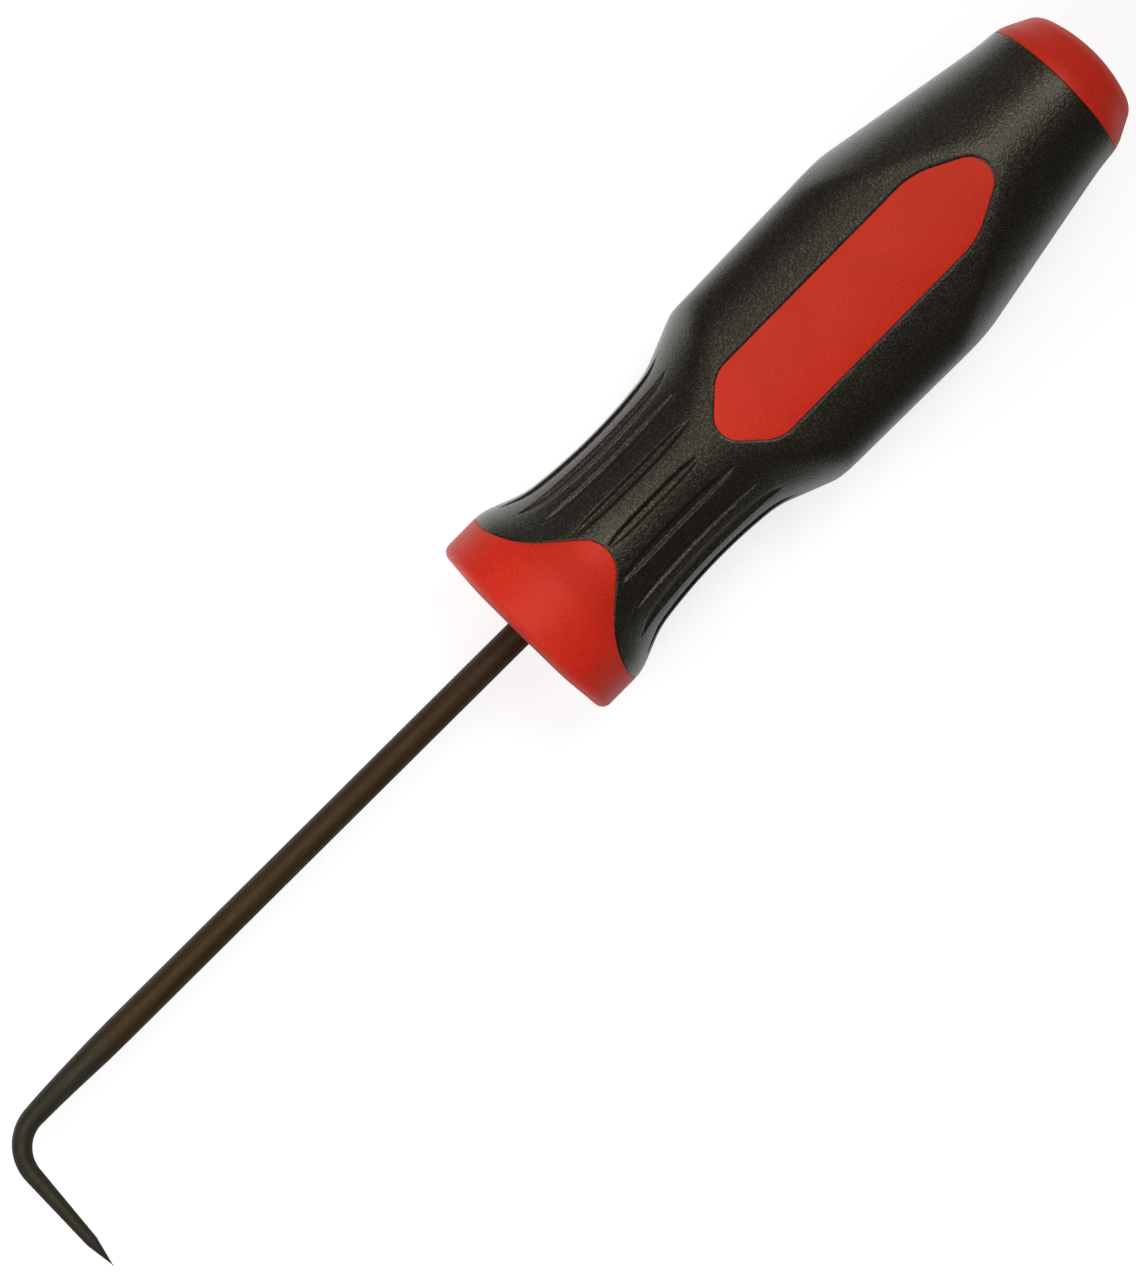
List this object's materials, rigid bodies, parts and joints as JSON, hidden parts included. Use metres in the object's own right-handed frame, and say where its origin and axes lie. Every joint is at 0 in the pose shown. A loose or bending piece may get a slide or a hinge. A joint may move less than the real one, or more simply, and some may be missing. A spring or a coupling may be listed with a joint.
{
  "type": "angled pick",
  "caption": "Angled steel pick with a sharp bent tip and a red and black two-component handle, for lifting seals, rings and bushings out of their grooves.",
  "frame": {"origin": "centre of the collar's front face, on the handle's axis, where the wire comes out", "axes": "+X along the handle's axis towards the point, +Y the way the bent leg points, +Z out of the front window"},
  "size_m": [0.2111, 0.0372, 0.0308],
  "materials": {
    "blackened_wire": "blackened spring steel wire with a brown cast, satin, ground towards the tip",
    "red_plastic": "fine spark-eroded grain, satin red",
    "black_grip": "soft thermoplastic rubber with a fine grain, dark warm black, slightly sheeny"
  },
  "bodies": {
    "root": {"pick_shaft": "blackened_wire", "handle_core": "red_plastic", "grip_sleeve": "black_grip"}
  },
  "joints": []
}
